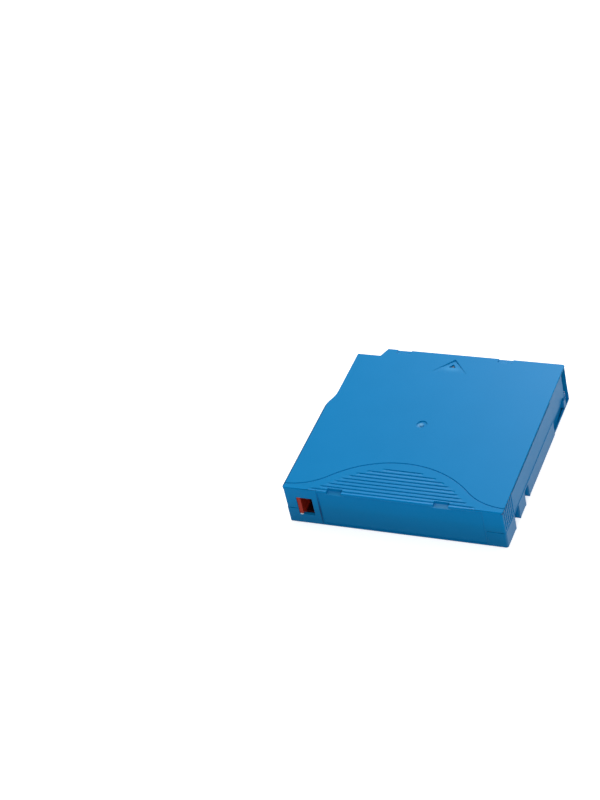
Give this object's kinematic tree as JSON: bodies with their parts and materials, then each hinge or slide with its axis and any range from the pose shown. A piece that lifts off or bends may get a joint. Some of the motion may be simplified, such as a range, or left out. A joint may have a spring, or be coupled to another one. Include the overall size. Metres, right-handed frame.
{
  "type": "data tape cartridge",
  "caption": "Flat rectangular half-inch tape cartridge with a grip arch on top, a side tape door, a write-protect tab and a single braked reel inside.",
  "frame": {"origin": "middle of the outline, on the underside", "axes": "+Y the way the cartridge goes into a drive, +X the side with the tape door, +Z the top"},
  "size_m": [0.1054, 0.102, 0.0215],
  "materials": {
    "shell_blue": "satin moulded plastic",
    "screw_steel": "blackened steel screws",
    "spring_steel": "drawn spring wire and strip",
    "pin_steel": "ground steel",
    "plate_steel": "stamped steel washer",
    "clip_plastic": "dark moulded plastic",
    "tape_film": "coated polyester film",
    "board": "glass-filled circuit board",
    "copper": "etched copper track",
    "resin": "black potting resin",
    "hub_plastic": "pale grey glass-filled plastic",
    "brake_plastic": "white acetal",
    "tab_red": "red moulded plastic"
  },
  "bodies": {
    "case": {"lower_shell": "shell_blue", "upper_shell": "shell_blue", "case_screws": "screw_steel", "door_spring": "spring_steel", "leader_pin": "pin_steel", "leader_pin_spring": "spring_steel", "tape_clip": "clip_plastic", "tape_lead": "tape_film", "memory_board": "board", "memory_antenna_coil": "copper", "memory_chip_seal": "resin", "brake_spring": "spring_steel"},
    "door": {"sliding_door": "shell_blue"},
    "write_protect": {"write_protect_tab": "tab_red"},
    "reel": {"reel_hub": "hub_plastic", "reel_upper_flange": "hub_plastic", "reel_drive_plate": "plate_steel", "tape_pack": "tape_film"},
    "brake": {"brake_button": "brake_plastic"},
    "release_pad": {"release_pad": "brake_plastic"}
  },
  "joints": [
    {"name": "door_slide", "type": "slide", "parent": "case", "child": "door", "axis": [0, -1, 0], "range_m": [0, 0.017], "stiffness_N_per_m": 15, "springref_m": -0.02, "deforming": ["door_spring"]},
    {"name": "write_protect_slide", "type": "slide", "parent": "case", "child": "write_protect", "axis": [1, 0, 0], "range_m": [0, 0.0036]},
    {"name": "reel_spin", "type": "hinge", "parent": "case", "child": "reel", "pos_m": [-0.0017, 0, 0.01], "axis": [0, 0, 1], "continuous": true},
    {"name": "brake_lift", "type": "slide", "parent": "case", "child": "brake", "axis": [0, 0, 1], "range_m": [0, 0.0017], "stiffness_N_per_m": 300, "springref_m": -0.006, "deforming": ["brake_spring"]},
    {"name": "release_pad_lift", "type": "slide", "parent": "reel", "child": "release_pad", "axis": [0, 0, 1], "range_m": [0, 0.0017]}
  ],
  "couplings": [
    {"joint": "release_pad_lift", "follows": "brake_lift", "ratio": 1}
  ]
}
